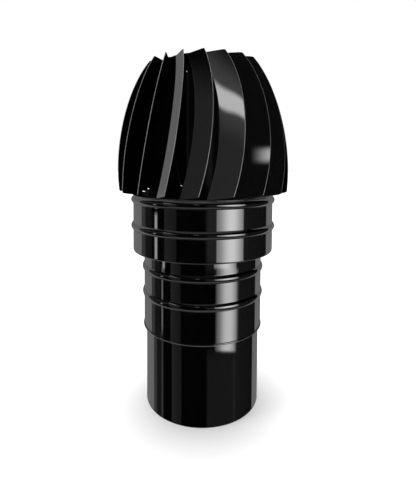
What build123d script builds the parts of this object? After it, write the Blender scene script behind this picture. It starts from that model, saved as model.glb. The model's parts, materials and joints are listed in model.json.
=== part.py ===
from build123d import *
from math import cos, radians, sin, sqrt, tan
import os

# Roof turbine ventilator: a wind-driven head of flat, leaning leaves on a stepped collar and duct pipe.
# Origin at the centre of the pipe's foot, +Z up the pipe, millimetres.
os.makedirs("parts", exist_ok=True)

# Duct pipe
pipe_outer_d = 150.0
pipe_wall = 1.0
pipe_free_length = 101.0  # from the foot up to the lower collar
pipe_crimp = 0.8  # how much slimmer the pipe's plug-in end is
pipe_crimp_drop = 2.0  # where the crimp starts, below the lower collar
pipe_crimp_slope = 1.4  # height over which the pipe narrows

# Sheet-metal collars
collar_sheet = 0.8
lower_collar_height = 99.8
slip_room = 2.4  # radial room between pipe and lower collar, taken up by the seal
hem_height = 5.0
hem_sheet = 0.8
upper_collar_height = 71.3
step_width = 14.3  # how far the upper collar stands out past the lower one
neck_length = 15.0  # socket of the upper collar inside the lower one
pipe_stop_width = 3.8
bead_height = 9.0  # every swaged bead, along the wall
bead_flank = 38.0  # slope of a bead's flanks against the wall, degrees
wide_bead_depth = 2.8  # how far the beads of the upper collar stand out
narrow_bead_depth = 2.3  # the same for the lower collar
middle_bead_drop = 38.5  # second bead of the upper collar, centre to top edge
stop_bead_rise = 78.5  # beads of the lower collar, centre to bottom edge
seal_bead_rise = 45.0
seal_height = 5.0
seal_squeeze = 0.1  # room left between the seal and the metal

# Turbine head
leaf_count = 18
leaf_sheet = 0.8
head_overhang = 19.5  # how far the outer leaf edges stand out past the upper collar, at the widest ring
head_dome_height = 183.0  # semi-axis of the ellipse that those edges follow
head_running_gap = 5.8  # from the collar's rim up to the outer foot corners
widest_rise = 27.0  # widest ring, above the outer foot corners
leaf_height = 169.0  # outer foot corner to crown
leaf_width = 32.0  # along the level section of a leaf
leaf_facing = -50.7  # bearing that the first leaf's flat faces, degrees from the front
leaf_tilt = 9.9  # how far a leaf's face looks up
leaf_inset = 43.8  # how far a leaf's plane, at the widest ring, stays inside the head's radius
leaf_drop = 5.0  # how far the inner foot corner hangs below the outer one
arc_split = 0.68  # share of a leaf's height where its edges pass from the flat arc to the rounder one
ear_width = 8.0  # ears bent off the inner edge, welded under the crown and onto the foot ring
ear_reach = 6.0  # past the inner edge
crown_ear_root = 8.0  # how far an ear's fold runs back along the leaf
foot_ear_root = 1.5

# Crown plate and foot ring that the leaves are spot-welded to
crown_sheet = 1.0
crown_inset = 19.2  # how far the crown plate's edge stays inside the leaves' planes
crown_rim_width = 12.0
crown_rise = 4.0
crown_plateau_margin = 5.0  # of the plateau round the hub sleeve
foot_ring_room = 1.7  # between the foot ring and the collar's wall
foot_ring_width = 18.0
foot_ring_sheet = 1.0
foot_ring_flange = 7.0  # upturned inner edge
weld_seat = 0.05

# Spindle, bushes and hub
spindle_d = 10.0
spindle_thread_d = 8.0
spindle_shoulder_d = 18.0
spindle_shoulder_h = 4.0
spindle_tip_chamfer = 2.0
bush_length = 22.0
bush_flange_h = 2.0
running_clearance = 0.06
press_clearance = 0.1
hub_outer_d = 44.0
hub_wall = 1.5
hub_drop = 4.0  # hub sleeve, below the foot ring
thrust_pad_d = 16.0
thrust_pad_h = 3.0
spindle_hole_d = 12.0  # in the crown plate
thrust_gap = 0.1
cap_wall = 2.0
clip_height = 1.2
clip_width = 3.0
clip_mouth = 3.0
clip_groove_depth = 1.0
clip_gap = 0.4

# Bearing bracket and fixings
bracket_sheet = 2.5
bracket_boss_d = 40.0
arm_count = 3
arm_width = 18.0
arm_foot_height = 14.0
first_arm = 90.0
nut_flats = 13.0
nut_height = 6.5
washer_d = 20.0
washer_height = 1.6
thread_tail = 3.0
hub_screw_count = 3
hub_screw_circle_d = 31.0
hub_screw_d = 4.0
hub_screw_flats = 7.0
hub_screw_head_h = 2.4
hub_screw_depth = 10.0  # in the upper bush
loose_fit = 0.3  # clearance between pieces that are put together by hand

# Radii and levels that follow
bead_slope = tan(radians(bead_flank))
pipe_r = pipe_outer_d / 2
plug_r = pipe_r - pipe_crimp
crimp_foot = pipe_free_length - pipe_crimp_drop
crimp_top = crimp_foot + pipe_crimp_slope
collar_inner_r = pipe_r + slip_room
collar_r = collar_inner_r + collar_sheet
wide_r = collar_r + step_width
wide_inner_r = wide_r - collar_sheet
neck_r = collar_inner_r - loose_fit
head_radius = wide_r + head_overhang
leaf_offset = head_radius - leaf_inset
crown_radius = leaf_offset - crown_inset
foot_ring_radius = wide_inner_r - foot_ring_room
foot_ring_inner_r = foot_ring_radius - foot_ring_width
collar_foot = pipe_free_length
collar_top = collar_foot + lower_collar_height
step_level = collar_top + loose_fit
rim_level = step_level + upper_collar_height
neck_foot = step_level - neck_length
pipe_length = neck_foot - loose_fit
corner_level = rim_level + head_running_gap
widest_level = corner_level + widest_rise
crown_level = corner_level + leaf_height
leaf_foot = corner_level - leaf_drop
ring_top = leaf_foot - weld_seat
ring_foot = ring_top - foot_ring_sheet
hub_foot = ring_foot - hub_drop
crown_seat = crown_level + weld_seat
plateau_seat = crown_seat + crown_rise
plateau_top = plateau_seat + crown_sheet
hub_top = plateau_seat - weld_seat
spindle_r = spindle_d / 2
bush_bore_r = spindle_r + running_clearance
hub_r = hub_outer_d / 2
hub_bore_r = hub_r - hub_wall
crown_plateau_r = hub_r + crown_plateau_margin
bush_r = hub_bore_r - press_clearance
clip_top = hub_foot - bush_flange_h - clip_gap
shoulder_top = clip_top - clip_height - clip_gap
bracket_top = shoulder_top - spindle_shoulder_h
bracket_foot = bracket_top - bracket_sheet
washer_foot = bracket_foot - washer_height
nut_foot = washer_foot - nut_height
spindle_foot = nut_foot - thread_tail
pad_seat = plateau_top + weld_seat
spindle_tip = pad_seat - thrust_gap


def turn_profile(*corners, mode=Mode.ADD):
    """Polygon of (radius, height) corners, turned about the axis into the open part."""
    with BuildSketch(Plane.XZ) as profile:
        with BuildLine():
            Polyline(*corners, close=True)
        make_face()
    revolve(profile.sketch, axis=Axis.Z, mode=mode)


def tube(outer_r, inner_r, foot, top):
    """Straight round tube between two levels, added to the open part."""
    turn_profile((inner_r, foot), (outer_r, foot), (outer_r, top), (inner_r, top))


def swage_bead(wall_r, level, depth):
    """Bead in a collar's wall: two flanks and a narrow crown outside, a V groove of the same slope inside."""
    half = bead_height / 2
    crown_half = half - depth / bead_slope
    inner_r = wall_r - collar_sheet
    groove_half = depth / bead_slope
    turn_profile(
        (wall_r, level - half),
        (wall_r + depth, level - crown_half),
        (wall_r + depth, level + crown_half),
        (wall_r, level + half),
    )
    turn_profile(
        (inner_r, level - groove_half),
        (inner_r + depth, level),
        (inner_r, level + groove_half),
        mode=Mode.SUBTRACT,
    )


def finish(part, name):
    """Label a piece and write it under its own name."""
    part.label = name
    export_step(part, f"parts/{name}.step")


# Duct pipe: its crimped top end plugs into the lower collar and stops under the upper one
with BuildPart() as pipe:
    turn_profile(
        (pipe_r - pipe_wall, 0),
        (pipe_r, 0),
        (pipe_r, crimp_foot),
        (plug_r, crimp_top),
        (plug_r, pipe_length),
        (plug_r - pipe_wall, pipe_length),
        (plug_r - pipe_wall, crimp_top),
        (pipe_r - pipe_wall, crimp_foot),
    )
finish(pipe.part, "duct_pipe")

# Lower collar: two beads, hemmed foot
with BuildPart() as lower_collar:
    tube(collar_r, collar_inner_r, collar_foot, collar_top)
    turn_profile(
        (collar_r, collar_foot),
        (collar_r + hem_sheet, collar_foot),
        (collar_r + hem_sheet, collar_foot + hem_height),
        (collar_r, collar_foot + hem_height),
    )
    swage_bead(collar_r, collar_foot + stop_bead_rise, narrow_bead_depth)
    swage_bead(collar_r, collar_foot + seal_bead_rise, narrow_bead_depth)
finish(lower_collar.part, "lower_collar")

# Rubber seal in the lower bead, between collar and pipe
seal_level = collar_foot + seal_bead_rise
with BuildPart() as pipe_seal:
    turn_profile(
        (plug_r + seal_squeeze, seal_level - seal_height / 2),
        (collar_inner_r - seal_squeeze, seal_level - seal_height / 2),
        (collar_inner_r - seal_squeeze + seal_height / 2 * bead_slope, seal_level),
        (collar_inner_r - seal_squeeze, seal_level + seal_height / 2),
        (plug_r + seal_squeeze, seal_level + seal_height / 2),
    )
finish(pipe_seal.part, "pipe_seal")

# Upper collar: swaged rim, one bead, flat step and a neck that ends in the pipe stop
with BuildPart() as upper_collar:
    turn_profile(
        (neck_r - pipe_stop_width, neck_foot),
        (neck_r, neck_foot),
        (neck_r, step_level),
        (wide_r, step_level),
        (wide_r, rim_level),
        (wide_inner_r, rim_level),
        (wide_inner_r, step_level + collar_sheet),
        (neck_r - collar_sheet, step_level + collar_sheet),
        (neck_r - collar_sheet, neck_foot + collar_sheet),
        (neck_r - pipe_stop_width, neck_foot + collar_sheet),
    )
    swage_bead(wide_r, rim_level - bead_height / 2, wide_bead_depth)
    swage_bead(wide_r, rim_level - middle_bead_drop, wide_bead_depth)
finish(upper_collar.part, "upper_collar")

# Bearing bracket: three arms across the airway, their feet turned down against the collar's wall
foot_outer_r = wide_inner_r - loose_fit
foot_rows = PolarLocations(0, arm_count, start_angle=first_arm)
with BuildPart() as bracket:
    with BuildSketch(Plane.XY.offset(bracket_foot)):
        Circle(bracket_boss_d / 2)
        with foot_rows:
            with Locations((foot_outer_r / 2, 0)):
                Rectangle(foot_outer_r, arm_width)
        Circle(foot_outer_r, mode=Mode.INTERSECT)
        Circle(spindle_thread_d / 2 + press_clearance, mode=Mode.SUBTRACT)
    extrude(amount=bracket_sheet)
    with BuildSketch(Plane.XY.offset(bracket_top - arm_foot_height)):
        with foot_rows:
            with Locations((foot_outer_r - bracket_sheet / 2, 0)):
                Rectangle(2 * bracket_sheet, arm_width)
        Circle(foot_outer_r, mode=Mode.INTERSECT)
        Circle(foot_outer_r - bracket_sheet, mode=Mode.SUBTRACT)
    extrude(amount=arm_foot_height - bracket_sheet)
finish(bracket.part, "bearing_bracket")

# Spindle: threaded tail, shoulder on the bracket, groove for the clip, chamfered tip
clip_groove_r = spindle_r - clip_groove_depth
clip_foot = clip_top - clip_height
with BuildPart() as spindle:
    turn_profile(
        (0, spindle_foot),
        (spindle_thread_d / 2, spindle_foot),
        (spindle_thread_d / 2, bracket_top),
        (spindle_shoulder_d / 2, bracket_top),
        (spindle_shoulder_d / 2, shoulder_top),
        (spindle_r, shoulder_top),
        (spindle_r, clip_foot - press_clearance),
        (clip_groove_r, clip_foot - press_clearance),
        (clip_groove_r, clip_top + press_clearance),
        (spindle_r, clip_top + press_clearance),
        (spindle_r, spindle_tip),
        (0, spindle_tip),
    )
    chamfer(spindle.edges().group_by(Axis.Z)[-1], length=spindle_tip_chamfer)
finish(spindle.part, "spindle")

# Clip that stops the head lifting off
with BuildPart() as retaining_clip:
    with BuildSketch(Plane.XY.offset(clip_foot)):
        Circle(clip_groove_r + press_clearance + clip_width)
        Circle(clip_groove_r + press_clearance, mode=Mode.SUBTRACT)
        with Locations((0, -spindle_r)):
            Rectangle(clip_mouth, 2 * spindle_r, mode=Mode.SUBTRACT)
    extrude(amount=clip_height)
finish(retaining_clip.part, "retaining_clip")

with BuildPart() as washer:
    tube(washer_d / 2, spindle_thread_d / 2 + press_clearance, washer_foot, bracket_foot)
finish(washer.part, "spindle_washer")

with BuildPart() as nut:
    with BuildSketch(Plane.XY.offset(nut_foot)):
        RegularPolygon(nut_flats / 2, 6, major_radius=False)
        Circle(spindle_thread_d / 2 + press_clearance, mode=Mode.SUBTRACT)
    extrude(amount=nut_height)
finish(nut.part, "spindle_nut")

# Hub sleeve, hanging from the crown plate
with BuildPart() as hub:
    tube(hub_r, hub_bore_r, hub_foot, hub_top)
finish(hub.part, "hub_sleeve")

# Bearing bushes: the lower one flanged, the upper one drilled for the crown's screws
with BuildPart() as lower_bush:
    turn_profile(
        (bush_bore_r, hub_foot - bush_flange_h),
        (hub_r, hub_foot - bush_flange_h),
        (hub_r, hub_foot),
        (bush_r, hub_foot),
        (bush_r, hub_foot - bush_flange_h + bush_length),
        (bush_bore_r, hub_foot - bush_flange_h + bush_length),
    )
finish(lower_bush.part, "lower_bush")

screw_seats = PolarLocations(hub_screw_circle_d / 2, hub_screw_count, start_angle=first_arm)
screw_hole_r = hub_screw_d / 2 + press_clearance
with BuildPart() as upper_bush:
    tube(bush_r, bush_bore_r, hub_top - bush_length, hub_top)
    with BuildSketch(Plane.XY.offset(hub_top)):
        with screw_seats:
            Circle(screw_hole_r)
    extrude(amount=-hub_screw_depth - loose_fit, mode=Mode.SUBTRACT)
finish(upper_bush.part, "upper_bush")

# Crown plate: flat rim over the leaves' ears, cone up to a plateau over the hub sleeve
crown_cone_r = crown_radius - crown_rim_width
with BuildPart() as crown_plate:
    turn_profile(
        (crown_radius, crown_seat),
        (crown_radius, crown_seat + crown_sheet),
        (crown_cone_r, crown_seat + crown_sheet),
        (crown_plateau_r, plateau_top),
        (spindle_hole_d / 2, plateau_top),
        (spindle_hole_d / 2, plateau_seat),
        (crown_plateau_r, plateau_seat),
        (crown_cone_r, crown_seat),
    )
    with BuildSketch(Plane.XY.offset(plateau_seat)):
        with screw_seats:
            Circle(screw_hole_r)
    extrude(amount=crown_sheet, mode=Mode.SUBTRACT)
finish(crown_plate.part, "crown_plate")

# Hub cap over the spindle's tip, and the thrust pad that it holds
pad_r = thrust_pad_d / 2
cup_r = pad_r + press_clearance
cap_inside = pad_seat + thrust_pad_h + weld_seat
cap_top = cap_inside + cap_wall
with BuildPart() as thrust_pad:
    with BuildSketch(Plane.XY.offset(pad_seat)):
        Circle(pad_r)
    extrude(amount=thrust_pad_h)
finish(thrust_pad.part, "thrust_pad")

with BuildPart() as hub_cap:
    turn_profile(
        (cup_r, pad_seat),
        (cup_r + cap_wall, pad_seat),
        (cup_r + cap_wall, cap_top - cap_wall / 2),
        (cup_r + cap_wall / 2, cap_top),
        (0, cap_top),
        (0, cap_inside),
        (cup_r, cap_inside),
    )
finish(hub_cap.part, "hub_cap")

# Screws through the crown plate into the upper bush
with BuildPart() as hub_screws:
    with BuildSketch(Plane.XY.offset(pad_seat)):
        with screw_seats:
            Circle(hub_screw_d / 2)
    extrude(amount=hub_top - hub_screw_depth - pad_seat)
    with BuildSketch(Plane.XY.offset(pad_seat)):
        with screw_seats:
            RegularPolygon(hub_screw_flats / 2, 6, major_radius=False)
    extrude(amount=hub_screw_head_h)
finish(hub_screws.part, "hub_screws")

# Foot ring under the leaves, inside the collar's mouth, its inner edge turned up
with BuildPart() as foot_ring:
    tube(foot_ring_radius, foot_ring_inner_r, ring_foot, ring_top)
    tube(foot_ring_inner_r + foot_ring_sheet, foot_ring_inner_r, ring_top, ring_top + foot_ring_flange)
finish(foot_ring.part, "foot_ring")


def on_bearing(angle):
    """Level unit vector at a bearing, degrees from the front and turning towards +X."""
    return Vector(sin(radians(angle)), -cos(radians(angle)))


# A leaf is a flat blank on a leaning plane; its outer edge is where that plane meets the head's ellipsoid
facing = on_bearing(leaf_facing)
along_leaf = on_bearing(leaf_facing - 90)
leaf_normal = facing * cos(radians(leaf_tilt)) + Vector(0, 0, sin(radians(leaf_tilt)))
leaf_plane = Plane(Vector(0, 0, widest_level) + leaf_normal * leaf_offset, x_dir=along_leaf, z_dir=leaf_normal)


def outer_edge(height):
    """Point at a height where the leaf's plane meets the ellipsoid, on the outer side."""
    rise = height - widest_level
    radius = head_radius * sqrt(1 - (rise / head_dome_height) ** 2)
    reach = (leaf_offset - rise * sin(radians(leaf_tilt))) / cos(radians(leaf_tilt))
    middle = facing * reach + Vector(0, 0, height)
    return middle - along_leaf * sqrt(radius * radius - reach * reach)


def curved_edge(foot, top, inset):
    """Leaf edge between two heights as two arcs, moved inwards along the leaf, in the leaf's plane."""
    heights = [foot + (top - foot) * share for share in (0, arc_split / 2, arc_split, (1 + arc_split) / 2, 1)]
    low, low_mid, split, high_mid, high = (
        leaf_plane.to_local_coords(outer_edge(height) + along_leaf * inset) for height in heights
    )
    ThreePointArc(low, low_mid, split)
    ThreePointArc(split, high_mid, high)
    return low, high


def ear(height, root):
    """Outline of a flat ear bent off the leaf's inner edge at a height."""
    inner = outer_edge(height) + along_leaf * leaf_width
    back = inner - along_leaf * root
    front = inner + along_leaf * ear_reach
    side = facing * -ear_width
    return back, front, front + side, back + side


with BuildLine(mode=Mode.PRIVATE) as leaf_edges:
    outer_foot, outer_top = curved_edge(corner_level, crown_level, 0)
    inner_foot, inner_top = curved_edge(leaf_foot, crown_level, leaf_width)
    Line(outer_foot, inner_foot)
    Line(outer_top, inner_top)
with BuildPart() as leaf_blank:
    with BuildSketch(leaf_plane):
        make_face(leaf_edges.edges())
    extrude(amount=-leaf_sheet)
    for foot, height, root in (
        (leaf_foot, leaf_foot, foot_ear_root),
        (crown_level - leaf_sheet, crown_level, crown_ear_root),
    ):
        with BuildSketch(Plane.XY.offset(foot)):
            with BuildLine():
                Polyline(*ear(height, root), close=True)
            make_face()
        extrude(amount=leaf_sheet)

for number in range(leaf_count):
    with BuildPart() as leaf:
        add(leaf_blank.part, rotation=(0, 0, number * 360 / leaf_count))
    finish(leaf.part, f"leaf_{number + 1:02d}")
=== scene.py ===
import json
import math

import bpy
import numpy as np
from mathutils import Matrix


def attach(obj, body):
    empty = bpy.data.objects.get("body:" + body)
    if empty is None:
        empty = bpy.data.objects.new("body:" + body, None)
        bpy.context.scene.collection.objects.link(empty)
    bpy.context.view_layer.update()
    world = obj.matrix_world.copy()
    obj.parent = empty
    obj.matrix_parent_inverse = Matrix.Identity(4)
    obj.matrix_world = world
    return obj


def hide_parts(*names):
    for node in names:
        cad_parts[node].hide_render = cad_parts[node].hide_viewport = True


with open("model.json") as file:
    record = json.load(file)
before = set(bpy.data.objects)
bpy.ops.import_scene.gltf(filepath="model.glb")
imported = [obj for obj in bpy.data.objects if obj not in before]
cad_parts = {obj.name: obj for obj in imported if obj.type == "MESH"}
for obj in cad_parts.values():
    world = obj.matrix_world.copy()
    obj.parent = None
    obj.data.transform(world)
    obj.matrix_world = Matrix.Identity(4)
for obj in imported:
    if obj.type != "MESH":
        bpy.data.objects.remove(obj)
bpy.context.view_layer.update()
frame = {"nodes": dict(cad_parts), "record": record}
print("frame loaded:", len(frame["nodes"]), "nodes")

millimetre = 0.001


def addMesh(name, points, faces, body, slot, replaced, finish):
    # points in millimetres go into a mesh in metres, the piece gets its body and finish, and the nodes it replaces are
    # hidden; slot is not used
    mesh = bpy.data.meshes.new(name)
    mesh.from_pydata((points * millimetre).tolist(), [], faces)
    mesh.polygons.foreach_set("use_smooth", np.full(len(mesh.polygons), True))
    mesh.update()
    piece = bpy.data.objects.new(name, mesh)
    bpy.context.scene.collection.objects.link(piece)
    piece.data.materials.append(finish)
    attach(piece, body)
    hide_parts(*replaced)
    return piece


def addShade(piece, name, values):
    # one number for each point, which a finish reads by its name
    shade = piece.data.attributes.new(name, "FLOAT", "POINT")
    shade.data.foreach_set("value", np.asarray(values, np.float32))


def quadsOnGrid(rows, columns, closeRows=False, closeColumns=False):
    # each quad joins point (i, j) to its next neighbours along both ways of the grid, round again where closed
    i, j = np.meshgrid(
        np.arange(rows if closeRows else rows - 1),
        np.arange(columns if closeColumns else columns - 1),
        indexing="ij",
    )
    i, j = i.ravel(), j.ravel()
    nextI, nextJ = (i + 1) % rows, (j + 1) % columns
    return np.stack([i * columns + j, i * columns + nextJ, nextI * columns + nextJ, nextI * columns + j], 1)


def roundedPath(corners, arcSteps=8, hold=0.5):
    # a broken line in (radius, height) whose corners turn on arcs: the arc of radius r starts and ends
    # r * tan(half the turn) before and after the corner. A straight run with room for it gets a point that is
    # hold away from the arc, which keeps the shading of the flat wall flat
    corners = [np.array((corner + (0,))[:3], float) for corner in corners]
    path, room = [corners[0][:2]], 2.5 * hold
    for before, here, after in zip(corners, corners[1:], corners[2:]):
        arrive = here[:2] - before[:2]
        leave = after[:2] - here[:2]
        arrive, leave = arrive / np.hypot(*arrive), leave / np.hypot(*leave)
        turn = math.atan2(arrive[0] * leave[1] - arrive[1] * leave[0], arrive @ leave)
        if here[2] < 1e-6 or abs(turn) < 1e-4:
            path.append(here[:2])
            continue
        run = here[2] * math.tan(abs(turn) / 2)
        centre = here[:2] - arrive * run + np.array([-arrive[1], arrive[0]]) * math.copysign(here[2], turn)
        spoke = here[:2] - arrive * run - centre
        angles = np.linspace(0, turn, arcSteps + 1)
        arc = centre + np.stack(
            [
                spoke[0] * np.cos(angles) - spoke[1] * np.sin(angles),
                spoke[0] * np.sin(angles) + spoke[1] * np.cos(angles),
            ],
            1,
        )
        if np.hypot(*(arc[0] - path[-1])) > room:
            path.append(arc[0] - arrive * hold)
        path.extend(arc)
        if np.hypot(*(after[:2] - arc[-1])) > room:
            path.append(arc[-1] + leave * hold)
    path.append(corners[-1][:2])
    path = np.array(path)
    keep = np.r_[True, np.hypot(*np.diff(path, axis=0).T) > 1e-5]
    return path[keep]


def sheetLoop(path, thickness, capSteps=6):
    # the closed section of a sheet: the path moved half a thickness to its left, round its end, back on
    # its right and round its start. A point at lead from each end keeps the round border to itself
    lead = 0.6 * thickness
    first = (path[1] - path[0]) / np.hypot(*(path[1] - path[0]))
    last = (path[-1] - path[-2]) / np.hypot(*(path[-1] - path[-2]))
    start, end = path[0] + first * thickness / 2, path[-1] - last * thickness / 2
    path = np.vstack([start, start + first * lead, path[1:-1], end - last * lead, end])
    along = np.gradient(path, axis=0)
    along /= np.hypot(*along.T)[:, None]
    side = np.stack([-along[:, 1], along[:, 0]], 1) * thickness / 2
    sweep = np.linspace(0, np.pi, capSteps + 1)[1:-1, None]
    endCap = path[-1] + side[-1] * np.cos(sweep) + last * thickness / 2 * np.sin(sweep)
    startCap = path[0] - side[0] * np.cos(sweep) - first * thickness / 2 * np.sin(sweep)
    return np.vstack([path + side, endCap, (path - side)[::-1], startCap])


def turnedPoints(section, count):
    # a section point (radius, height) goes to (radius * cos a, radius * sin a, height) at count even angles a
    angle = np.linspace(0, 2 * np.pi, count, endpoint=False)[None, :]
    radius, height = section[:, :1], section[:, 1:]
    return np.stack([radius * np.cos(angle), radius * np.sin(angle), height + 0 * angle], 2)


def turnedSheet(name, path, thickness, count, press=None, **piece):
    # a sheet section carried once round the vertical axis, whose points press may move
    section = sheetLoop(path, thickness)
    area = np.sum(section[:, 0] * np.roll(section[:, 1], -1) - np.roll(section[:, 0], -1) * section[:, 1])
    if area < 0:  # faces point outwards
        section = section[::-1]
    grid = turnedPoints(section, count)
    if press:
        grid = press(grid)
    faces = quadsOnGrid(len(section), count, True, True)
    return addMesh(name, grid.reshape(-1, 3), faces.tolist(), **piece)


def turnedSolid(name, section, count, **piece):
    # a section that starts and ends on the axis, carried round it, with one point and a fan at each pole
    grid = turnedPoints(section[1:-1], count)
    poles = np.array([[0, 0, section[0, 1]], [0, 0, section[-1, 1]]])
    rows = len(section) - 2
    faces = quadsOnGrid(rows, count, False, True)[:, ::-1].tolist()
    ring = np.arange(count)
    onward = (ring + 1) % count
    base = rows * count
    lastRow = (rows - 1) * count
    faces += np.stack([np.full(count, base), ring, onward], 1).tolist()
    faces += np.stack([np.full(count, base + 1), lastRow + onward, lastRow + ring], 1).tolist()
    return addMesh(name, np.vstack([grid.reshape(-1, 3), poles]), faces, **piece)


def plateShell(middle, normal, half):
    # two faces of a plate: middle + normal * half and middle - normal * half, sharing the grid's border points
    rows, columns = half.shape
    front = np.arange(rows * columns).reshape(rows, columns)
    border = np.ones((rows, columns), bool)
    border[1:-1, 1:-1] = False
    back = np.where(border, front, 0)
    back[~border] = rows * columns + np.arange((~border).sum())
    points = np.vstack(
        [(middle + normal * half[..., None]).reshape(-1, 3), (middle - normal * half[..., None])[~border]]
    )
    quads = quadsOnGrid(rows, columns)
    return points, np.vstack([quads, back.ravel()[quads[:, ::-1]]])


def borderSteps(length, thickness, inner):
    # distances along one side of a plate: close together over the rounded border, in shares of half the
    # thickness, then even
    rim = thickness / 2 * np.array([0, 0.03, 0.13, 0.3, 0.55, 0.8, 1.0, 1.6])
    return np.concatenate([rim, np.linspace(rim[-1], length - rim[-1], inner)[1:-1], (length - rim)[::-1]])


def rimHeight(distance, thickness):
    # half thickness at a distance from the border: a quarter circle, then level
    inside = np.clip(distance / (thickness / 2), 0, 1)
    return np.sqrt(1 - (1 - inside) ** 2)


class Wire:  # a number socket that takes Python arithmetic
    def __init__(self, bench, socket):
        self.bench, self.socket = bench, socket

    def __add__(self, other):
        return self.bench.calculate("ADD", self, other)

    def __radd__(self, other):
        return self.bench.calculate("ADD", other, self)

    def __sub__(self, other):
        return self.bench.calculate("SUBTRACT", self, other)

    def __rsub__(self, other):
        return self.bench.calculate("SUBTRACT", other, self)

    def __mul__(self, other):
        return self.bench.calculate("MULTIPLY", self, other)

    def __rmul__(self, other):
        return self.bench.calculate("MULTIPLY", other, self)

    def __truediv__(self, other):
        return self.bench.calculate("DIVIDE", self, other)


class Bench:  # one node tree under construction
    def __init__(self, owner):
        owner.use_nodes = True
        self.tree = owner.node_tree
        self.tree.nodes.clear()

    def node(self, kind, settings=None, **sockets):
        # settings first, then the inputs: a key is a socket's name with _ for a space, or its number after "n"
        made = self.tree.nodes.new(kind)
        for key, value in (settings or {}).items():
            if key == "stops":
                while len(made.color_ramp.elements) < len(value):
                    made.color_ramp.elements.new(0.5)
                for stop, (place, shade) in zip(made.color_ramp.elements, value):
                    stop.position, stop.color = place, (shade, shade, shade, 1)
            else:
                setattr(made, key, value)
        for key, value in sockets.items():
            target = made.inputs[int(key[1:])] if key[1:].isdigit() else made.inputs[key.replace("_", " ")]
            if isinstance(value, Wire):
                value = value.socket
            if isinstance(value, bpy.types.NodeSocket):
                self.tree.links.new(value, target)
            else:
                target.default_value = value
        return made

    def wire(self, made, output=0):
        return Wire(self, made.outputs[output])

    def calculate(self, operation, first, second=0.0):
        return self.wire(self.node("ShaderNodeMath", {"operation": operation}, n0=first, n1=second))

    def between(self, value, low, high, soft):
        # 1 between two values and 0 outside them, with a smooth step as wide as twice soft at each
        rise, fall = (
            self.wire(self.node(
                "ShaderNodeMapRange", {"interpolation_type": "SMOOTHSTEP"}, Value=value, From_Min=edge - soft,
                From_Max=edge + soft,
            ))
            for edge in (low, high)
        )
        return rise * (1 - fall)

    def attribute(self, name):
        return self.wire(self.node("ShaderNodeAttribute", {"attribute_name": name}), "Fac")

    def noise(self, place, scale, detail=2.0, roughness=0.5):
        return self.wire(
            self.node("ShaderNodeTexNoise", None, Vector=place, Scale=scale, Detail=detail, Roughness=roughness)
        )

    def ramp(self, value, stops):
        return self.wire(self.node("ShaderNodeValToRGB", {"stops": stops}, Fac=value))

    def blend(self, share, first, second):
        made = self.node("ShaderNodeMix", {"data_type": "RGBA"}, n0=share, n6=first, n7=second)
        return made.outputs[2]


def enamelFinish(name, look):
    # stoved gloss paint: a black base under a clear coat. Towards grazing angles the coat is
    # coatStart - coatFall * facing, where that is less than coat, so rims don't burn out. Faces inside the
    # head lose the coat and render dark, a painted shade. Cut edges are lighter and metallic: worn paint and a painted
    # highlight line
    material = bpy.data.materials.new(name)
    bench = Bench(material)
    place = bench.node("ShaderNodeTexCoord").outputs["Object"]
    peel = bench.noise(place, look["peelScale"], detail=1.0)
    dust = bench.ramp(bench.noise(place, look["dustScale"], detail=4.0, roughness=0.6), look["dustStops"])
    shade = bench.blend(dust * look["dustShare"], look["colour"] + (1,), look["dustColour"] + (1,))
    bump = bench.node("ShaderNodeBump", None, Strength=1.0, Distance=0.001, Height=peel * look["peelHeight"])
    coat = look["coat"]
    if look["coatFall"]:
        facing = bench.wire(bench.node("ShaderNodeLayerWeight", None, Blend=0.5), "Facing")
        coat = bench.calculate("MINIMUM", coat, look["coatStart"] - facing * look["coatFall"])
    shader = bench.node(
        "ShaderNodeBsdfPrincipled", None, Base_Color=shade, Roughness=look["roughness"] + dust * look["dustRoughness"],
        IOR=look["ior"], Specular_IOR_Level=look["specular"], Coat_Weight=coat, Coat_Roughness=look["coatRoughness"],
        Coat_IOR=look["coatIor"], Normal=bump.outputs[0],
    )
    if look["shaded"]:
        # cut edges lighter and metallic: worn paint, and a painted highlight line along the edge
        wornPaintAndHighlight = bench.attribute("edge") * look["wornPaintAndHighlightShare"]
        bench.tree.links.new(bench.blend(wornPaintAndHighlight, shade, look["wornPaintAndHighlightColour"] + (1,)), shader.inputs["Base Color"])
        bench.tree.links.new((wornPaintAndHighlight * look["wornPaintAndHighlightMetallic"]).socket, shader.inputs["Metallic"])
        # no coat on faces inside the head, so they render dark: painted shade
        bench.tree.links.new((coat * (1 - bench.attribute("inside"))).socket, shader.inputs["Coat Weight"])
    bench.node("ShaderNodeOutputMaterial", None, Surface=shader.outputs[0])
    return material


def plainFinish(name, look):
    # a bare surface: one colour with a slow change of shade, fine grain in the roughness and a small bump
    material = bpy.data.materials.new(name)
    bench = Bench(material)
    place = bench.node("ShaderNodeTexCoord").outputs["Object"]
    if "stretch" in look:
        place = bench.node("ShaderNodeMapping", None, Vector=place, Scale=look["stretch"]).outputs[0]
    patch = bench.noise(place, look["patchScale"], detail=3.0)
    grain = bench.noise(place, look["grainScale"])
    shade = bench.blend(patch, look["colour"] + (1,), look["otherColour"] + (1,))
    bump = bench.node("ShaderNodeBump", None, Strength=1.0, Distance=0.001, Height=grain * look["grainHeight"])
    shader = bench.node(
        "ShaderNodeBsdfPrincipled", None, Base_Color=shade, Metallic=look["metallic"],
        Roughness=look["roughness"] + (grain - 0.5) * look["roughnessChange"], Normal=bump.outputs[0],
    )
    bench.node("ShaderNodeOutputMaterial", None, Surface=shader.outputs[0])
    return material


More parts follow.
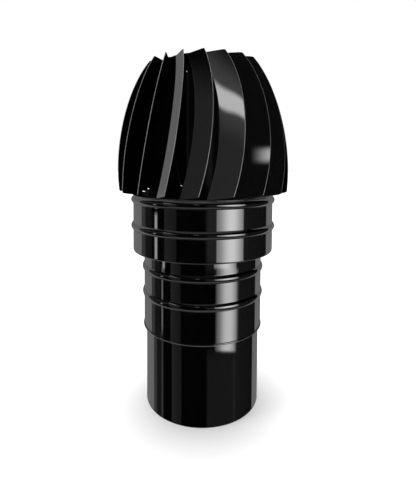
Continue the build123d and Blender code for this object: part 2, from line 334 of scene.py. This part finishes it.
gloss = {
    "colour": (0.0012, 0.0012, 0.0013), "roughness": 0.5, "ior": 1.5, "specular": 0.0,
    "dustColour": (0.02, 0.02, 0.02), "dustShare": 0.04, "dustScale": 60.0, "dustStops": [(0.45, 0), (0.8, 1)],
    "dustRoughness": 0.05, "peelScale": 420.0, "peelHeight": 0.0035,
    "coat": 1.0, "coatStart": 1.85, "coatFall": 1.7, "coatIor": 2.0, "coatRoughness": 0.025,
    "shaded": False, "wornPaintAndHighlightShare": 0.6, "wornPaintAndHighlightColour": (0.5, 0.5, 0.51), "wornPaintAndHighlightMetallic": 0.6,
}
shadedGloss = {**gloss, "shaded": True}
dull = {**gloss, "colour": (0.0025, 0.0025, 0.0026), "coat": 0.03, "coatFall": 0.0, "coatRoughness": 0.4}
steel = {
    "colour": (0.52, 0.52, 0.53), "otherColour": (0.44, 0.44, 0.45), "patchScale": 90.0, "grainScale": 900.0,
    "grainHeight": 0.004, "metallic": 1.0, "roughness": 0.28, "roughnessChange": 0.2, "stretch": (1.0, 1.0, 6.0),
}
fixingSteel = {**steel, "colour": (0.6, 0.6, 0.6), "otherColour": (0.5, 0.5, 0.48), "roughness": 0.34}
rubber = {
    "colour": (0.012, 0.012, 0.012), "otherColour": (0.022, 0.022, 0.022), "patchScale": 60.0, "grainScale": 1500.0,
    "grainHeight": 0.02, "metallic": 0.0, "roughness": 0.75, "roughnessChange": 0.15,
}
acetal = {
    "colour": (0.72, 0.71, 0.67), "otherColour": (0.66, 0.65, 0.6), "patchScale": 80.0, "grainScale": 700.0,
    "grainHeight": 0.006, "metallic": 0.0, "roughness": 0.42, "roughnessChange": 0.12,
}
finishes = {
    "leaf_enamel": enamelFinish("leafEnamel", shadedGloss),
    "collar_enamel": enamelFinish("collarEnamel", shadedGloss),
    "pipe_enamel": enamelFinish("pipeEnamel", gloss),
    "hub_enamel": enamelFinish("hubEnamel", dull),
    "bracket_enamel": enamelFinish("bracketEnamel", dull),
    "spindle_steel": plainFinish("spindleSteel", steel),
    "fixing_steel": plainFinish("fixingSteel", fixingSteel),
    "seal_rubber": plainFinish("sealRubber", rubber),
    "bush_acetal": plainFinish("bushAcetal", acetal),
}
print("finishes made:", len(finishes))

slotOf = {row["node"]: row["material_slot"] for row in frame["record"]["subparts"]}
for node, slotName in slotOf.items():
    nodeObject = frame["nodes"][node]
    if not nodeObject.material_slots:
        nodeObject.data.materials.append(None)
    for holder in nodeObject.material_slots:
        holder.link = "OBJECT"
        holder.material = finishes[slotName]

# sizes are in millimetres, and a sheet's path runs along its middle, as (radius, height over the pipe's foot)
pipe = {
    "radius": 75.0, "wall": 1.0, "crimp": 0.8, "crimpFoot": 99.0, "crimpTop": 100.4, "crimpRound": 1.2, "top": 185.8,
    "count": 288,
}
pipeLine = pipe["radius"] - pipe["wall"] / 2
pipePath = roundedPath(
    [
        (pipeLine, 0.0),
        (pipeLine, pipe["crimpFoot"], pipe["crimpRound"]),
        (pipeLine - pipe["crimp"], pipe["crimpTop"], pipe["crimpRound"]),
        (pipeLine - pipe["crimp"], pipe["top"]),
    ]
)
turnedSheet(
    "ductPipe", pipePath, pipe["wall"], pipe["count"], body="base", slot="pipe_enamel", replaced=["duct_pipe"],
    finish=finishes["pipe_enamel"],
)


def bead(wall, level, look):
    # three corners of a swaged bead: its two feet, and the point where its flanks would meet, at
    # half the height * tan(slope). The arc there has the radius that leaves the bead's crown at its depth
    half, slope = look["height"] / 2, math.radians(look["slope"])
    meeting = half * math.tan(slope)
    crownRound = (meeting - look["depth"]) / (1 / math.cos(slope) - 1)
    return [
        (wall, level - half, look["footRound"]),
        (wall + meeting, level, crownRound),
        (wall, level + half, look["footRound"]),
    ]


collar = {
    "sheet": 0.8, "foot": 101.0, "top": 200.8, "radius": 78.2, "count": 320,
    "hem": 2.2, "hemRound": 0.39, "hemSpread": 1.08, "wornPaintAndHighlightHem": 0.5,
    "lowBead": 146.0, "highBead": 179.5, "highDepth": 2.4,
    "bead": {"height": 9.0, "depth": 2.1, "slope": 46.0, "footRound": 1.0},
}
collarLine = collar["radius"] - collar["sheet"] / 2
hemLine = collarLine + collar["sheet"] * collar["hemSpread"]
hemFoot = collar["foot"] + collar["sheet"] / 2
collarPath = roundedPath(
    [
        (hemLine, collar["foot"] + collar["hem"]),
        (hemLine, hemFoot, collar["hemRound"]),
        (collarLine, hemFoot, collar["hemRound"]),
        *bead(collarLine, collar["lowBead"], collar["bead"]),
        *bead(collarLine, collar["highBead"], {**collar["bead"], "depth": collar["highDepth"]}),
        (collarLine, collar["top"]),
    ]
)
collarPiece = turnedSheet(
    "lowerCollar", collarPath, collar["sheet"], collar["count"], body="base", slot="collar_enamel",
    replaced=["lower_collar"], finish=finishes["collar_enamel"],
)
places = np.empty(3 * len(collarPiece.data.vertices), np.float32)
collarPiece.data.vertices.foreach_get("co", places)
# the hem's folded foot is painted lighter and metallic: worn paint and a painted highlight line along the fold
addShade(collarPiece, "edge", places[2::3] < (collar["foot"] + collar["wornPaintAndHighlightHem"]) * millimetre)

cowl = {
    "sheet": 0.8, "count": 360, "neckFoot": 186.1, "stopRadius": 73.3, "neckRadius": 77.1, "neckRound": 1.0,
    "step": 201.1, "stepRound": 1.6, "radius": 92.5, "rim": 272.7, "middleBead": 233.9, "rimBead": 267.8,
    "bead": {"height": 9.0, "depth": 2.75, "slope": 50.0, "footRound": 1.0},
}
cowlHalf = cowl["sheet"] / 2
cowlLine, neckLine = cowl["radius"] - cowlHalf, cowl["neckRadius"] - cowlHalf
cowlPath = roundedPath(
    [
        (cowl["stopRadius"], cowl["neckFoot"] + cowlHalf),
        (neckLine, cowl["neckFoot"] + cowlHalf, cowl["neckRound"]),
        (neckLine, cowl["step"] + cowlHalf, cowl["neckRound"]),
        (cowlLine, cowl["step"] + cowlHalf, cowl["stepRound"]),
        *bead(cowlLine, cowl["middleBead"], cowl["bead"]),
        *bead(cowlLine, cowl["rimBead"], cowl["bead"]),
        (cowlLine, cowl["rim"]),
    ]
)
turnedSheet(
    "upperCollar", cowlPath, cowl["sheet"], cowl["count"], body="base", slot="collar_enamel",
    replaced=["upper_collar"], finish=finishes["collar_enamel"],
)
print("pipe and collars turned")

# turnSpread, offPitch, facing and tilt are in degrees; offPitch sets two leaves a little off the even pitch
leaf = {
    "count": 18, "sheet": 0.8, "widest": 305.2, "radius": 112.0, "dome": 183.0, "foot": 278.2, "top": 447.2,
    "drop": 5.0, "width": 32.0, "facing": -50.7, "tilt": 9.9, "offset": 68.2, "outerRound": 1.6, "innerRound": 1.0,
    "wornPaintAndHighlightEdge": 0.45, "across": 12, "upward": 46, "borderSpan": 165.0,
    "bow": 0.1, "turnSpread": 0.06, "seed": 11, "offPitch": {11: 1.2, 12: -1.3},
}
ear = {
    "width": 8.0, "reach": 6.0, "crownRoot": 8.0, "footRoot": 1.5, "return": 2.6, "bend": 1.0, "thickness": 0.88,
    "along": 5, "around": 12, "arcSteps": 6, "hold": 0.4,
}


def onBearing(degrees):
    # the level direction that many degrees from the front towards the right
    return np.array([math.sin(math.radians(degrees)), -math.cos(math.radians(degrees)), 0.0])


facing = onBearing(leaf["facing"])
alongLeaf = onBearing(leaf["facing"] - 90)
tilt = math.radians(leaf["tilt"])
leafNormal = facing * math.cos(tilt) + np.array([0, 0, math.sin(tilt)])


def outerEdge(height):
    # the leaf's plane lies at a fixed offset from the middle along its tilted normal; at each height it meets
    # the ellipse of revolution radius * sqrt(1 - (rise / dome)^2) in the outer edge
    rise = height - leaf["widest"]
    radius = leaf["radius"] * np.sqrt(1 - (rise / leaf["dome"]) ** 2)
    reach = (leaf["offset"] - rise * math.sin(tilt)) / math.cos(tilt)
    middle = facing * reach[..., None] - alongLeaf * np.sqrt(radius**2 - reach**2)[..., None]
    middle[..., 2] = height
    return middle


def cornerCut(distance, radius):
    # how far a round corner pulls a straight side back, at a distance from the other side
    inside = np.clip(distance, 0, radius)
    return radius - np.sqrt(radius**2 - (radius - inside) ** 2)


def leafShell(random):
    # across runs from the outer to the inner edge and up from foot to crown; every point lies on the leaf's
    # plane, moved by a shallow bow, and the plate is half a sheet thick to each side with rounded borders. With
    # the points and faces come two shades: how far a point is a worn edge with a painted highlight line, and 1 for the
    # face that looks into the head, whose coat is left off for painted shade
    across = borderSteps(leaf["width"], leaf["sheet"], leaf["across"])[:, None]
    share = across / leaf["width"]
    cut = cornerCut(across, leaf["outerRound"]) + cornerCut(leaf["width"] - across, leaf["innerRound"])
    foot = leaf["foot"] - leaf["drop"] * share + cut
    top = leaf["top"] - cut
    up = borderSteps(1.0, leaf["sheet"] / leaf["borderSpan"], leaf["upward"])[None, :]
    height = foot + (top - foot) * up
    middle = outerEdge(height) + alongLeaf * across[..., None]
    bow = leaf["bow"] * (
        random.uniform(-1, 1) * np.sin(np.pi * up) + random.uniform(-1, 1) * np.sin(2 * np.pi * up + share)
        + random.uniform(-1, 1) * np.sin(np.pi * share) * np.sin(np.pi * up)
    ) * np.sin(np.pi * up)
    middle = middle + leafNormal * (bow - leaf["sheet"] / 2)[..., None]
    away = np.minimum(across, leaf["width"] - across)
    upAway = np.minimum(up, 1 - up) * (top - foot)
    half = leaf["sheet"] / 2 * rimHeight(away, leaf["sheet"]) * rimHeight(upAway, leaf["sheet"])
    half[[0, -1], :] = 0
    half[:, [0, -1]] = 0
    points, faces = plateShell(middle, leafNormal + 0 * middle, half)
    wornPaintAndHighlight = (1 - across / leaf["wornPaintAndHighlightEdge"] + 0 * up).clip(0, 1)
    wornPaintAndHighlight = np.r_[wornPaintAndHighlight.ravel(), wornPaintAndHighlight[1:-1, 1:-1].ravel()]
    inside = np.r_[np.zeros(half.size), np.ones(len(points) - half.size)]
    return points, faces, wornPaintAndHighlight, inside


def earShell(height, root, upwards):
    # a tab of the leaf's inner end: a short stretch in the leaf's plane, a bend, and a level strip towards the
    # middle of the head, all carried along the leaf
    way = 1 if upwards else -1
    half = leaf["sheet"] / 2
    level = height - half * way
    path = roundedPath(
        [(0.0, -ear["return"]), (0.0, 0.0, ear["bend"]), (-ear["width"], 0.0)], ear["arcSteps"], ear["hold"]
    )
    back = outerEdge(np.array([level]))[0] + alongLeaf * (leaf["width"] - root)
    length = root + ear["reach"]
    strip = borderSteps(length, leaf["sheet"], ear["along"])[None, :]
    walked = np.r_[0, np.cumsum(np.hypot(*np.diff(path, axis=0).T))]
    steps = borderSteps(walked[-1], leaf["sheet"], ear["around"])
    out = np.interp(steps, walked, path[:, 0])[:, None]
    rise = np.interp(steps, walked, path[:, 1])[:, None] * way
    middle = (
        back + facing * (out - half - rise * math.tan(tilt))[..., None] + alongLeaf * strip[..., None]
        + np.array([0, 0, 1.0]) * rise[..., None]
    )
    along = np.gradient(middle[:, 0], axis=0)
    normal = np.cross(along, alongLeaf)
    normal /= np.linalg.norm(normal, axis=1)[:, None]
    away = np.minimum(np.minimum(steps, walked[-1] - steps)[:, None], np.minimum(strip, length - strip))
    thick = half * ear["thickness"] * rimHeight(away, leaf["sheet"])
    thick[[0, -1], :] = 0
    thick[:, [0, -1]] = 0
    points, faces = plateShell(middle, normal[:, None, :] + 0 * middle, thick)
    return points, faces[:, ::-1] if upwards else faces


random = np.random.default_rng(leaf["seed"])
ears = [
    earShell(leaf["top"], ear["crownRoot"], upwards=True),
    earShell(leaf["foot"] - leaf["drop"], ear["footRoot"], upwards=False),
]
for number in range(1, leaf["count"] + 1):
    blade, bladeFaces, wornPaintAndHighlight, inside = leafShell(random)
    shells = [(blade, bladeFaces), *ears]
    points = np.vstack([shellPoints for shellPoints, shellFaces in shells])
    starts = np.cumsum([0] + [len(shellPoints) for shellPoints, shellFaces in shells])
    faces = np.vstack([shellFaces + start for (shellPoints, shellFaces), start in zip(shells, starts)])
    offPitch = leaf["offPitch"].get(number, 0.0) + random.uniform(-1, 1) * leaf["turnSpread"]
    angle = math.radians((number - 1) * 360 / leaf["count"] + offPitch)
    spin = np.array([[math.cos(angle), -math.sin(angle), 0], [math.sin(angle), math.cos(angle), 0], [0, 0, 1]])
    piece = addMesh(
        f"turbineLeaf{number:02d}", points @ spin.T, faces.tolist(), "turbine", "leaf_enamel",
        [f"leaf_{number:02d}"], finishes["leaf_enamel"],
    )
    earPoints = len(points) - len(blade)
    # edge: worn paint and a painted highlight line; inside: no coat, painted shade
    addShade(piece, "edge", np.r_[wornPaintAndHighlight, np.zeros(earPoints)])
    addShade(piece, "inside", np.r_[inside, np.ones(earPoints)])
    piece.visible_glossy = False  # a leaf's gloss shows the studio, not its neighbour
print("leaves made:", leaf["count"])

crown = {
    "sheet": 1.0, "seat": 447.25, "radius": 49.0, "rimWidth": 12.0, "rise": 4.0, "plateau": 27.0, "hole": 6.0,
    "bend": 3.0, "arcSteps": 5, "count": 540, "rimFrom": 47.5, "rimTo": 38.4, "rimStep": 0.6,
    "weldAlong": 1.5, "weldInward": 4.0, "weldWidth": 1.7, "weldDepth": 0.28, "topFrom": 0.9, "underside": -0.3,
}
weldSpot = (
    outerEdge(np.array([crown["seat"]]))[0] + alongLeaf * (leaf["width"] + crown["weldAlong"])
    - facing * crown["weldInward"]
)
weldRadius, weldAngle = math.hypot(*weldSpot[:2]), math.atan2(weldSpot[1], weldSpot[0])


def pressWelds(grid):
    # each ear's spot weld leaves a shallow round dimple, depth * exp(-(distance / width)^4), in the rim's top
    turn = weldAngle + np.arange(leaf["count"]) * 2 * np.pi / leaf["count"]
    spots = np.stack([np.cos(turn), np.sin(turn)], 1) * weldRadius
    reach = np.linalg.norm(grid[..., None, :2] - spots, axis=-1)
    dimple = (crown["weldDepth"] * np.exp(-((reach / crown["weldWidth"]) ** 4))).sum(-1)
    onTop = grid[..., 2] > crown["seat"] + crown["sheet"] * crown["topFrom"]
    grid[..., 2] -= dimple * onTop
    return grid


rimLine = crown["seat"] + crown["sheet"] / 2
plateauLine = rimLine + crown["rise"]
crownPath = roundedPath(
    [
        (crown["radius"], rimLine),
        *[(float(radius), rimLine) for radius in np.arange(crown["rimFrom"], crown["rimTo"], -crown["rimStep"])],
        (crown["radius"] - crown["rimWidth"], rimLine, crown["bend"]),
        (crown["plateau"], plateauLine, crown["bend"]),
        (crown["hole"], plateauLine),
    ],
    crown["arcSteps"],
)
crownPiece = turnedSheet(
    "crownPlate", crownPath, crown["sheet"], crown["count"], press=pressWelds, body="turbine", slot="leaf_enamel",
    replaced=["crown_plate"], finish=finishes["leaf_enamel"],
)
normals = np.empty(3 * len(crownPiece.data.vertices), np.float32)
crownPiece.data.vertex_normals.foreach_get("vector", normals)
# the plate's underside gets no coat and renders dark: painted shade
addShade(crownPiece, "inside", normals[2::3] < crown["underside"])

ring = {"sheet": 1.0, "level": 272.65, "outer": 90.0, "inner": 72.0, "flange": 280.15, "bend": 1.2, "count": 300}
flangeLine = ring["inner"] + ring["sheet"] / 2
ringPath = roundedPath(
    [(ring["outer"], ring["level"]), (flangeLine, ring["level"], ring["bend"]), (flangeLine, ring["flange"])]
)
turnedSheet(
    "footRing", ringPath, ring["sheet"], ring["count"], body="turbine", slot="leaf_enamel", replaced=["foot_ring"],
    finish=finishes["hub_enamel"],
)

hub = {"radius": 22.0, "wall": 1.5, "levels": (268.15, 330.0, 390.0, 451.2), "count": 128}
hubLine = hub["radius"] - hub["wall"] / 2
hubPath = np.array([(hubLine, level) for level in hub["levels"]])
turnedSheet(
    "hubSleeve", hubPath, hub["wall"], hub["count"], body="turbine", slot="hub_enamel", replaced=["hub_sleeve"],
    finish=finishes["hub_enamel"],
)

cap = {
    "seat": 452.3, "top": 457.35, "outer": 10.1, "bore": 8.1, "inside": 455.35, "round": 1.6, "rimRound": 0.3,
    "count": 128,
}
capSection = roundedPath(
    [
        (0.0, cap["top"]),
        (cap["outer"], cap["top"], cap["round"]),
        (cap["outer"], cap["seat"], cap["rimRound"]),
        (cap["bore"], cap["seat"], cap["rimRound"]),
        (cap["bore"], cap["inside"], cap["rimRound"]),
        (0.0, cap["inside"]),
    ]
)
turnedSolid(
    "hubCap", capSection, cap["count"], body="turbine", slot="hub_enamel", replaced=["hub_cap"],
    finish=finishes["collar_enamel"],
)
print("crown, ring and hub made")


def stageMaterial(name, colour, seenWhite):
    # a diffuse surface with a little light added for the camera alone
    material = bpy.data.materials.new(name)
    bench = Bench(material)
    surface = bench.node("ShaderNodeBsdfDiffuse", None, Color=colour + (1,)).outputs[0]
    seen = bench.wire(bench.node("ShaderNodeLightPath"), "Is Camera Ray")
    glow = bench.node("ShaderNodeEmission", None, Color=(1, 1, 1, 1), Strength=seen * seenWhite).outputs[0]
    surface = bench.node("ShaderNodeAddShader", None, n0=surface, n1=glow).outputs[0]
    bench.node("ShaderNodeOutputMaterial", None, Surface=surface)
    return material


def stagePiece(name, points, faces, material, seenBy):
    mesh = bpy.data.meshes.new(name)
    mesh.from_pydata(np.asarray(points, float).tolist(), [], np.asarray(faces).tolist())
    mesh.materials.append(material)
    piece = bpy.data.objects.new(name, mesh)
    bpy.context.scene.collection.objects.link(piece)
    for ray in ("camera", "diffuse", "glossy", "transmission", "shadow"):
        setattr(piece, "visible_" + ray, ray in seenBy)
    return piece


studio = {
    "ambient": 0.4, "floorSize": 12.0, "floorColour": (0.86, 0.86, 0.86), "floorLift": 0.18,
    "backdrop": 0.72, "backdropHigh": 0.56, "backdropFrom": 123.0, "backdropTo": 244.5, "backdropSoft": 1.5,
    "horizonSoft": 2.0, "overhead": 0.3, "overheadFrom": 55.0, "overheadSoft": 8.0, "beyondPole": 120.0,
}
floorSize = studio["floorSize"]
stagePiece(
    "floor",
    [(-floorSize, -floorSize, 0), (floorSize, -floorSize, 0), (floorSize, floorSize, 0), (-floorSize, floorSize, 0)],
    [(0, 1, 2, 3)],
    stageMaterial("floorPaint", studio["floorColour"], seenWhite=studio["floorLift"]),
    ("camera", "diffuse", "shadow"),
)

# panels that only the gloss shows: bearing from the front towards the right and height over the horizon in
# degrees, brightness, and softness of the sides and of the top and bottom. With fade, the brightness changes evenly
# from (1 - fade) * glow at the low bearing to glow at the high one; with lean, the panel rises by that much for each
# degree of bearing
panels = {
    "key": {"bearing": (21.5, 66.5), "height": (-15.5, 8.0), "glow": 1.48, "soft": (1.3, 0.25)},
    "keyCore": {"bearing": (33.0, 58.0), "height": (-15.5, 8.0), "glow": 3.52, "soft": (12.0, 0.25)},
    "keyUnder": {"bearing": (26.0, 68.5), "height": (-26.5, -15.5), "glow": 0.74, "soft": (3.0, 0.25)},
    "keyUnderCore": {"bearing": (37.0, 64.0), "height": (-26.5, -15.5), "glow": 3.18, "soft": (11.0, 0.25)},
    "keyFoot": {"bearing": (10.0, 69.0), "height": (-50.0, -26.6), "glow": 0.063, "soft": (2.5, 1.5)},
    "keyHalo": {"bearing": (6.0, 24.0), "height": (-15.5, 8.0), "glow": 0.11, "soft": (4.0, 2.0)},
    "right": {"bearing": (66.0, 122.0), "height": (-50.0, 8.0), "glow": 0.021, "soft": (2.0, 2.0), "fade": -1.8},
    "edge": {"bearing": (-81.3, -76.3), "height": (-15.5, -7.6), "glow": 2.2, "soft": (1.6, 0.5)},
    "edgeUnder": {"bearing": (-84.5, -80.5), "height": (-24.0, -15.5), "glow": 0.8, "soft": (1.2, 1.0)},
    "edgeFoot": {"bearing": (-89.0, -85.0), "height": (-50.0, -24.6), "glow": 0.25, "soft": (1.2, 1.0)},
    "fill": {"bearing": (-62.5, -41.5), "height": (-50.0, 6.0), "glow": 0.059, "soft": (1.2, 3.0), "fade": -0.9},
    "leftRim": {"bearing": (-117.0, -104.0), "height": (-50.0, 2.0), "glow": 0.2, "soft": (2.0, 3.0)},
    "leftRimFade": {"bearing": (-104.0, -88.0), "height": (-50.0, 2.0), "glow": 0.043, "soft": (2.0, 3.0)},
    "side": {"bearing": (-113.0, -40.0), "height": (2.0, 24.0), "glow": 0.18, "soft": (5.0, 4.0), "fade": 0.5},
    "highLeft": {"bearing": (-68.0, -50.0), "height": (29.4, 31.5), "glow": 3.42, "soft": (3.0, 0.4), "lean": -0.58},
    "highLeftHalo": {
        "bearing": (-68.0, -48.0), "height": (28.2, 34.2), "glow": 0.42, "soft": (4.0, 3.0), "lean": -0.58,
    },
    "highFront": {"bearing": (-13.1, -6.0), "height": (19.8, 21.7), "glow": 3.42, "soft": (1.6, 0.6)},
    "highRight": {"bearing": (-35.0, 60.0), "height": (10.0, 40.0), "glow": 0.023, "soft": (8.0, 6.0)},
    "below": {"bearing": (-200.0, 200.0), "height": (-120.0, -52.0), "glow": 0.35, "soft": (1.0, 6.0)},
}

world = bpy.data.worlds.new("studioAir")
bpy.context.scene.world = world
bench = Bench(world)
towards = bench.node("ShaderNodeSeparateXYZ", None, Vector=bench.node("ShaderNodeTexCoord").outputs["Generated"])
east, north, up = (bench.wire(towards, axis) for axis in range(3))
bearing = bench.calculate("ARCTAN2", east, 0 - north) * math.degrees(1)
height = bench.calculate("ARCSINE", up) * math.degrees(1)

# a pale backdrop behind the object, brighter under the horizon, then the panels, then a soft light overhead
roundBearing = bearing + 360 * bench.calculate("LESS_THAN", bearing)
underHorizon = bench.between(height, -studio["beyondPole"], 0.0, studio["horizonSoft"])
shine = (studio["backdropHigh"] + (studio["backdrop"] - studio["backdropHigh"]) * underHorizon) * bench.between(
    roundBearing, studio["backdropFrom"], studio["backdropTo"], studio["backdropSoft"]
)
for panel in panels.values():
    low, high = panel["bearing"]
    fade, lean = panel.get("fade", 0.0), panel.get("lean", 0.0)
    glow, level = panel["glow"], height
    if fade:
        glow = glow * (1 - fade + fade * (bearing - low) / (high - low))
    if lean:
        level = height - lean * (bearing - low)
    shine = shine + glow * bench.between(bearing, low, high, panel["soft"][0]) * bench.between(
        level, *panel["height"], panel["soft"][1]
    )
shine = shine + studio["overhead"] * bench.between(
    height, studio["overheadFrom"], studio["beyondPole"], studio["overheadSoft"]
)

# the camera sees white, glossy and transmitted rays see the panels, and all other rays an even ambient light
paths = bench.node("ShaderNodeLightPath")
seen = bench.wire(paths, "Is Camera Ray")
reflected = bench.calculate(
    "MINIMUM", bench.wire(paths, "Is Glossy Ray") + bench.wire(paths, "Is Transmission Ray"), 1.0
)
strength = seen + (1 - seen) * (reflected * shine + (1 - reflected) * studio["ambient"])
air = bench.node("ShaderNodeBackground", None, Color=(1, 1, 1, 1), Strength=strength)
bench.node("ShaderNodeOutputWorld", None, Surface=air.outputs[0])

# two broad suns that the gloss doesn't show: one overhead for the floor's shadow, one low from the left
lamps = {
    "topLamp": {"power": 2.9, "width": 0.6, "turn": (-0.1, 0.0, 0.0)},
    "leftLamp": {"power": 1.2, "width": 0.5, "turn": (1.2, 0.0, -1.2)},
}
for name, look in lamps.items():
    lampData = bpy.data.lights.new(name, "SUN")
    lampData.energy, lampData.angle = look["power"], look["width"]
    lampObject = bpy.data.objects.new(name, lampData)
    lampObject.rotation_euler = look["turn"]
    lampObject.visible_glossy = False
    bpy.context.scene.collection.objects.link(lampObject)

# metres and radians; axis is the pixel that the lens looks straight at, and lengths in pixels are for the frame
view = {
    "place": (0.0, -0.5195, 0.316), "pitch": 0.05, "roll": -0.005, "focalPixels": 386.4, "frame": (416, 478),
    "axis": (203.09, 181.64), "sensor": 36.0, "nearest": 0.01, "farthest": 50.0,
}
cameraData = bpy.data.cameras.new("camera")
cameraData.sensor_width = view["sensor"]
cameraData.lens = view["focalPixels"] / view["frame"][1] * view["sensor"]
cameraData.shift_x = (view["frame"][0] / 2 - view["axis"][0]) / view["frame"][1]
cameraData.shift_y = -(view["frame"][1] / 2 - view["axis"][1]) / view["frame"][1]
cameraData.clip_start, cameraData.clip_end = view["nearest"], view["farthest"]
camera = bpy.data.objects.new("camera", cameraData)
camera.location = view["place"]
camera.rotation_mode = "XYZ"
camera.rotation_euler = (math.pi / 2 - view["pitch"], view["roll"], 0.0)
bpy.context.scene.collection.objects.link(camera)
bpy.context.scene.camera = camera
bpy.context.scene.view_settings.view_transform = "Standard"
print("studio and camera set")

print("scene finished")
